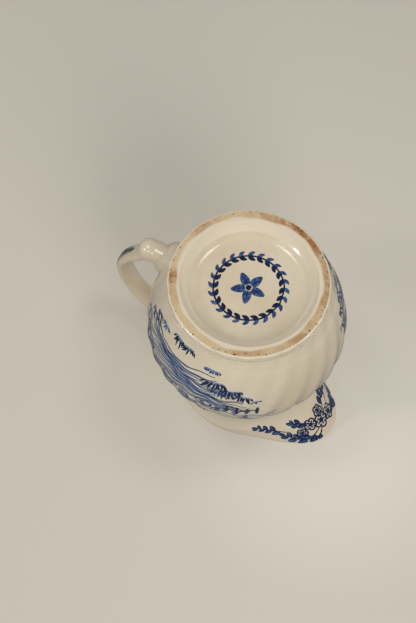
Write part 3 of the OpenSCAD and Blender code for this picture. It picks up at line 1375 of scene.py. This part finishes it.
@dataclass
class Transfer:
    """One cut of the transfer, laid down on the ware."""

    name: str
    sketch: Sketch
    form: JugForm
    handle: Handle
    ink: bpy.types.Material
    ground: Ground
    centre: float = 0.0
    mm_per_degree: float = 0.68
    rise: float = 0.026
    thin: float = 0.2
    rim_margin: float = 1.2
    soft: float = 0.5

    def wrap(self, flat: Points, base: float) -> Points:
        """Carry flat points onto the ground, with the strokes pressed almost flush.

        Args:
            flat: Drawn points in mm, with their height off the paper third.
            base: Height of this ink above the ware.

        Returns:
            Points in mm in the frame.
        """
        x, y, h = flat.T
        lift = base + self.rise * np.clip(h / self.thin, -1, 1)
        if self.ground is Ground.WALL:
            angle = self.centre + x / self.mm_per_degree
            room = self.form.rim_height(angle) - self.rim_margin - y
            y = y + room - self.soft * np.logaddexp(0, room / self.soft)
            return self.form.lifted(angle, y, lift)
        if self.ground is Ground.STRAP:
            return self.handle.on_strap(x, -y, lift)
        return np.stack([x, y, self.form.recess_h - lift], -1)

    def cut(self, ink: Ink) -> bpy.types.Object | None:
        """Make the strokes of one ink as a mesh on the ground.

        Args:
            ink: The ink to cut.

        Returns:
            The strokes, or None if the drawing has none in this ink.
        """
        wanted = [s for s in self.sketch.strokes if s[2] is ink]
        if not wanted:
            return None
        curve = bpy.data.curves.new(self.name, "CURVE")
        curve.dimensions = "3D"
        curve.bevel_depth = MM
        curve.bevel_resolution = 0
        curve.use_fill_caps = True
        for points, radius, _ink in wanted:
            spline = curve.splines.new("POLY")
            spline.points.add(len(points) - 1)
            flat = np.column_stack([points * MM, np.zeros(len(points)), np.ones(len(points))])
            spline.points.foreach_set("co", flat.ravel())
            spline.points.foreach_set("radius", np.maximum(radius, 0.03))
        drawn = bpy.data.objects.new(self.name + "_" + ink.name.lower(), curve)
        bpy.context.collection.objects.link(drawn)
        choose(drawn)
        bpy.ops.object.convert(target="MESH")
        edit(drawn)
        weld()
        leave_edit()
        strength, base = ink.value
        move_points(drawn, lambda flat: self.wrap(flat, base))
        edit(drawn)
        finish_outward()
        write_layer(drawn, "ink", np.full(len(drawn.data.vertices), strength))
        return drawn

    def build(self) -> bpy.types.Object:
        """Lay down all inks and join them into one piece.

        Returns:
            The printed piece.
        """
        cuts = [c for c in map(self.cut, Ink) if c]
        deselect_all()
        for cut in cuts:
            cut.select_set(True)
        bpy.context.view_layer.objects.active = cuts[0]
        if len(cuts) > 1:
            bpy.ops.object.join()
        piece = bpy.context.object
        name_piece(piece, self.name)
        return dress(piece, self.ink)


def landscape(seed: int) -> Sketch:
    """Draw the country scene of one side, with x in mm round the belly from its middle.

    Args:
        seed: Seed of the engraver's hand.

    Returns:
        The drawing.
    """
    s = Sketch(seed)
    levels = (14.8, 16.4, 18.0, 19.6, 21.2, 22.8, 24.4, 26.0, 27.6, 29.2, 30.8, 32.4)
    inks = (Ink.MIDDLE, Ink.DARK, Ink.MIDDLE)
    for i, level in enumerate(levels):
        xs = np.linspace(-8 - i * 1.8, 33 + 5 * math.sin(i * 1.9), 8)
        path = [(x, level + 1.6 * math.sin(x * 0.11 + i * 0.5) + max(x - 22, 0) * 0.3) for x in xs]
        s.line(path, 0.42, inks[i % 3], taper=0.7, wobble=0.4)
        if i % 2:
            s.line([(x, y + 0.9) for x, y in path[1:-1]], 0.9, Ink.PALE, taper=0.8, wobble=0.2)
        start = 3 + 6 * math.sin(i * 2.3)
        part = [start + 3.3 * j for j in range(5)]
        ripple = [(x, level + 0.8 + 1.6 * math.sin(x * 0.11 + i * 0.5)) for x in part]
        s.line(ripple, 0.36, Ink.MIDDLE, 0.9, 0.25)
    tufts = (
        (22.0, 9.2, 5.0, 2.8, Ink.MIDDLE, 6),
        (12.8, 7.0, 5.4, 4.2, Ink.DARK, 12),
        (6.6, 7.4, 6.0, 3.8, Ink.DARK, 12),
        (-6.8, 10.8, 6.4, 2.4, Ink.MIDDLE, 20),
        (-9.0, 17.0, 8.0, 5.6, Ink.DARK, 8),
        (-15.6, 19.6, 8.5, 5.2, Ink.DARK, 8),
        (-21.0, 22.8, 5.5, 3.8, Ink.DARK, 0),
        (-12.5, 21.2, 11.0, 4.4, Ink.MIDDLE, 0),
        (-25.6, 25.4, 2.6, 2.2, Ink.DARK, 0),
        (29.0, 10.4, 3.6, 6.0, Ink.DARK, -40),
        (33.0, 14.0, 4.0, 6.0, Ink.DARK, -30),
        (26.5, 13.6, 5.0, 5.0, Ink.MIDDLE, -30),
        (36.0, 20.0, 4.0, 6.0, Ink.MIDDLE, -20),
        (31.0, 24.5, 7.0, 4.5, Ink.MIDDLE, -10),
        (28.0, 31.0, 7.0, 3.6, Ink.DARK, 0),
    )
    for x, y, length, high, ink, lean in tufts:
        s.tuft(x, y, length, high, ink, lean)
    rocks = ((-5, 33.4, 3.4, 2.3), (13, 35.6, 3.2, 2.2), (26.5, 30.2, 2.6, 2.0), (-11.5, 35.2, 2.8, 2.0),
             (20, 33.4, 2.6, 1.8), (33, 27.5, 2.4, 2.2), (4, 36.2, 2.4, 1.5))
    for x, y, wide, high in rocks:
        s.rock(x, y, wide, high)
    for x in (-26.5, -22.6, -18.7, -14.8):
        s.line([(x, 30.4), (x + 0.3, 36.0)], 0.8, Ink.DARK, taper=0.3)
        s.line([(x - 0.3, 34.6), (x + 2.0, 32.4), (x + 3.9, 34.6)], 0.5, Ink.DARK, taper=0.3)
    for i in range(2, 11):
        s.hatch(-33 + 6.6 * i, 28 + 2.6 * math.sin(i * 2.1), 4.0, 2.6, 14, 0.8, Ink.PALE)
        s.hatch(-30 + 6.4 * i, 35 + 1.4 * math.sin(i * 1.7), 5.0, 2.6, 8, 0.6, Ink.MIDDLE)
    s.line([(x, 37.4 + 1.1 * math.sin(x * 0.2)) for x in range(-34, 38, 6)], 0.5, Ink.MIDDLE, wobble=0.3)
    s.line([(x, 40.2 + 0.8 * math.sin(x * 0.3 + 1)) for x in range(-30, 34, 6)], 0.36, Ink.PALE, wobble=0.3)
    s.tuft(2, 37.6, 8, 2.4, Ink.MIDDLE)
    s.tree(20, 38.5, 19, 7.5)
    s.tree(-22, 38.5, 13, 5.2)
    s.cottage(-5.5, 40.5, 13, 8.5)
    s.line([(x, 51 + 2.6 * math.sin(x * 0.13 + 2)) for x in range(-30, 31, 5)], 0.3, Ink.PALE, wobble=0.2)
    for x, y in ((-8, 60), (-4, 61.6), (4, 59.4)):
        wings = [(x - 0.9, y + 0.4), (x - 0.3, y + 0.6), (x, y), (x + 0.3, y + 0.6), (x + 0.9, y + 0.4)]
        s.line(wings, 0.24, Ink.MIDDLE)
    return s


def lip_spray(seed: int) -> Sketch:
    """Draw the floral spray under the lip, with x in mm round from the lip's middle.

    Args:
        seed: Seed of the engraver's hand.

    Returns:
        The drawing.
    """
    s = Sketch(seed)
    for k in (-1, 1):
        s.spray([(k * 4, 93.6), (k * 9, 96.0), (k * 14, 95.2), (k * 18.5, 92.8)], 4.8, 3.6)
        s.spray([(k * 17, 90.8), (k * 22, 89.3), (k * 27, 88.0), (k * 32, 87.0)], 4.6, 3.8)
        s.spray([(k * 6, 89.8), (k * 9.5, 87.8), (k * 14, 86.4)], 4.0, 3.2, berries=True)
    s.spray([(-1.5, 89.6), (-4.5, 87), (-8, 84.4)], 4.4, 3.2)
    s.spray([(-3, 94), (-6, 95.4), (-9, 95.0)], 4.0, 3.0)
    s.spray([(3, 94.2), (5.0, 96.4), (8, 97.4)], 3.2, 3.0)
    blossoms = ((1.6, 91.6, 3.3), (6.6, 90.0, 2.8), (-3.6, 92.6, 2.9), (0.4, 87.2, 2.4), (11.2, 92.6, 2.2))
    for x, y, size in blossoms:
        s.blossom(x, y, size)
    return s


def strap_leaf(seed: int) -> Sketch:
    """Draw the long leaf down the handle, with x in mm across and y in mm up the strap.

    Args:
        seed: Seed of the engraver's hand.

    Returns:
        The drawing.
    """
    s = Sketch(seed)
    for i in range(21):
        y = 15 - 1.8 * i
        reach = 3.6 * min(1.0, 0.3 + i * 0.14, 0.5 + (20 - i) * 0.12)
        for side in (-1, 1):
            s.blade(0.1 * side, y, 90 - side * 52, reach * 1.15, 0.62, Ink.DARK, side * 0.12)
    s.line([(0, 18), (0, 8), (0, -8), (0, -22)], 0.6, Ink.DARK)
    return s


def recess_wreath(seed: int) -> Sketch:
    """Draw a plain leafy wreath round a flower for the recess under the foot.

    Args:
        seed: Seed of the engraver's hand.

    Returns:
        The drawing.
    """
    s = Sketch(seed)
    size, count = 13.5, 24
    for i in range(count):
        a = math.tau * i / count
        x, y = size * math.cos(a), size * math.sin(a)
        heading = math.degrees(a) + 90
        s.blade(x, y, heading + 38, 3.0, 1.15, Ink.DARK, 0.1)
        s.blade(x, y, heading - 38, 2.8, 1.0, Ink.MIDDLE, -0.1)
    s.ring(0, 0, size, size, 0.45, Ink.DARK)
    for i in range(5):
        a = math.tau * i / 5
        s.blade(1.4 * math.cos(a), 1.4 * math.sin(a), math.degrees(a), 5.4, 2.2, Ink.MIDDLE)
        s.blade(1.6 * math.cos(a), 1.6 * math.sin(a), math.degrees(a), 3.4, 0.6, Ink.DARK)
    s.ring(0, 0, 0.5, 0.5, 0.9, Ink.DARK)
    return s


@dataclass
class Decoration:
    """All the transfers on the jug."""

    form: JugForm
    handle: Handle
    ink: bpy.types.Material

    def build(self) -> None:
        """Lay the landscapes, the lip spray, the handle leaf and the wreath."""
        cuts = (
            ("print_side_left", landscape(11), Ground.WALL, 92.0),
            ("print_side_right", landscape(12), Ground.WALL, -72.0),
            ("print_lip_spray", lip_spray(13), Ground.WALL, 0.0),
            ("print_strap_leaf", strap_leaf(14), Ground.STRAP, 0.0),
            ("print_recess_wreath", recess_wreath(15), Ground.RECESS, 0.0),
        )
        for name, sketch, ground, centre in cuts:
            Transfer(name, sketch, self.form, self.handle, self.ink, ground, centre).build()


# ---------------------------------------------------------------- stage


@dataclass
class Studio:
    """Camera, soft lights and the two pale floors, each with a painted pool of light round the jug."""

    form: JugForm
    distance: float = 450.0
    lens: float = 69.3
    azimuth: float = 63.0
    elevation: float = -64.4
    aim: tuple[float, float] = (-6.8, 18.4)
    # Floor tones are painted light: a lighter tone by the jug fading to a darker one further out, standing in
    # for lamp falloff.
    floor_painted_light_near: str = "#e6e2da"
    floor_painted_light_far: str = "#c9c4bb"
    floor_size: float = 40.0
    sky: str = "#f7f4ed"
    sky_light: float = 0.47
    sky_shine: float = 0.2
    # Each softbox: name, direction, distance and size in m, watts, tint, whether it shows in the glaze
    boxes: tuple[tuple[str, tuple[float, float, float], float, float, float, str, bool], ...] = (
        ("overhead_right", (0.28, -0.27, -0.92), 1.1, 0.26, 1.3, "#fffcf6", True),
        ("overhead_left", (-0.32, 0.14, -0.93), 1.1, 0.26, 1.3, "#fffcf6", True),
        ("window_left", (-0.55, 0.63, -0.5), 1.2, 0.14, 2.0, "#fffdf8", True),
        ("front_fill", (0.68, 0.53, -0.5), 1.2, 0.7, 5.2, "#fffdf8", False),
        ("upright_key", (0.3, -0.8, 0.5), 1.3, 0.5, 4.0, "#fffdf8", False),
        ("upright_fill", (-0.5, 0.3, 0.8), 1.3, 0.5, 4.0, "#fbfcff", False),
    )

    def camera(self) -> None:
        """Stand the camera below the foot, with the jug's down as the picture's up."""
        a, e = math.radians(self.azimuth), math.radians(self.elevation)
        out = Vector((math.cos(a) * math.cos(e), math.sin(a) * math.cos(e), math.sin(e)))
        place = out * self.distance * MM
        look = (Vector((self.aim[0] * MM, self.aim[1] * MM, 0)) - place).normalized()
        up = Vector((0, 0, -1))
        right = look.cross(up).normalized()
        up = right.cross(look)
        turn = Matrix((right, up, -look)).transposed()
        bpy.ops.object.camera_add(location=place)
        camera = bpy.context.object
        camera.name = "camera"
        camera.data.lens = self.lens
        camera.data.sensor_width = 36
        camera.rotation_euler = turn.to_euler()
        self.right, self.up, self.back = right, up, -look
        bpy.context.scene.camera = camera

    def softbox(self, name: str, way: tuple[float, float, float], far: float, size: float, watts: float,
                tint: str, shine: bool) -> None:
        """Hang a softbox in a direction from the jug, facing it.

        Args:
            name: The light's name.
            way: Direction in the frame's axes.
            far: Distance in metres.
            size: Side of the square box in metres.
            watts: Power.
            tint: Colour of the light as sRGB hex.
            shine: Whether it shows in the glaze.
        """
        toward = Vector(way).normalized()
        bpy.ops.object.light_add(type="AREA", location=toward * far + Vector((0, 0, 0.04)))
        box = bpy.context.object
        box.name = name
        box.data.shape = "SQUARE"
        box.data.size = size
        box.data.energy = watts
        box.data.color = linear(tint)[:3]
        box.rotation_euler = toward.to_track_quat("Z", "Y").to_euler()
        box.visible_camera = False
        box.visible_glossy = shine

    def floor(self, name: str, place: Vector, normal: Vector, graze: bool) -> None:
        """Lay a pale floor that shows only from its own side, with a painted pool of light round the jug.

        Args:
            name: The floor's name.
            place: A point on it, in metres.
            normal: The way it faces.
            graze: Whether it fades out when it is seen nearly edge on.
        """
        facing_way = normal.to_track_quat("Z", "Y").to_euler()
        bpy.ops.mesh.primitive_plane_add(size=self.floor_size, location=place, rotation=facing_way)
        plane = bpy.context.object
        plane.name = name
        for ray in ("visible_diffuse", "visible_glossy", "visible_transmission", "visible_volume_scatter",
                    "visible_shadow"):
            setattr(plane, ray, False)
        n = Nodes(name + "_paper")
        behind = n.add("NewGeometry").outputs["Backfacing"]
        place = n.add("TexCoord").outputs["Object"]
        # Painted pool of light: the colour runs from the lighter near tone by the jug to the darker far tone
        # with distance, standing in for lamp falloff.
        far = n.add("VectorMath", {"operation": "LENGTH"}, _0=place).outputs["Value"]
        share = n.add("MapRange", Value=far, From_Min=0.02, From_Max=0.3).outputs["Result"]
        fade = n.ramp(share, [(0, 0), (0.2, 0.62), (1, 1)])
        tone = n.blend(fade, linear(self.floor_painted_light_near), linear(self.floor_painted_light_far))
        haze = n.add("MapRange", Value=far, From_Min=0.35, From_Max=1.2).outputs["Result"]
        matte = n.add("BsdfPrincipled", Base_Color=n.blend(haze, tone, linear(self.sky)), Roughness=0.85)
        clear = n.add("BsdfTransparent")
        hidden: object = behind
        if graze:
            facing = n.add("LayerWeight", Blend=0.5).outputs["Facing"]
            edge_on = n.ramp(facing, [(0.55, 0.0), (0.7, 1.0)])
            hidden = n.add("Math", {"operation": "MAXIMUM"}, _0=behind, _1=edge_on).outputs[0]
        shown = n.add("MixShader", _0=hidden, _1=matte.outputs[0], _2=clear.outputs[0])
        plane.data.materials.append(n.surface(shown))

    def build(self) -> None:
        """Set the camera, the world, the lights and both floors."""
        f = self.form
        self.camera()
        world = bpy.data.worlds.new("studio")
        world.use_nodes = True
        nodes, links = world.node_tree.nodes, world.node_tree.links
        back = nodes["Background"]
        back.inputs["Color"].default_value = linear(self.sky)
        path = nodes.new("ShaderNodeLightPath")
        level = nodes.new("ShaderNodeMapRange")
        level.inputs["To Min"].default_value = self.sky_light
        level.inputs["To Max"].default_value = self.sky_shine
        links.new(path.outputs["Is Glossy Ray"], level.inputs["Value"])
        links.new(level.outputs["Result"], back.inputs["Strength"])
        bpy.context.scene.world = world
        tip = Vector((f.rim_r + f.lip_reach, 0, f.tip_z)) * MM
        heel = Vector((-f.rim_r, 0, f.rim_z)) * MM
        slope = (tip - heel).normalized()
        normal = Vector((slope.z, 0, -slope.x))
        self.floor("floor_under_rim", tip + normal * -0.0003, normal, graze=True)
        self.floor("floor_under_foot", Vector((0, 0, -0.0002)), Vector((0, 0, 1)), graze=False)
        for box in self.boxes:
            self.softbox(*box)
        bpy.context.scene.view_settings.view_transform = "Standard"
        log.info("studio set")


def main() -> None:
    """Build the jug's sub-assemblies in order, then the studio."""
    logging.basicConfig(level=logging.INFO, format="%(name)s: %(message)s")
    form = JugForm.from_frame()
    glaze = CreamGlaze().make()
    Ware(form, glaze).build()
    Foot(form, WornFoot().make()).build()
    handle = Handle.from_frame(form, glaze)
    handle.build()
    Decoration(form, handle, CobaltPrint().make()).build()
    Studio(form).build()


if __name__ == "__main__":
    main()
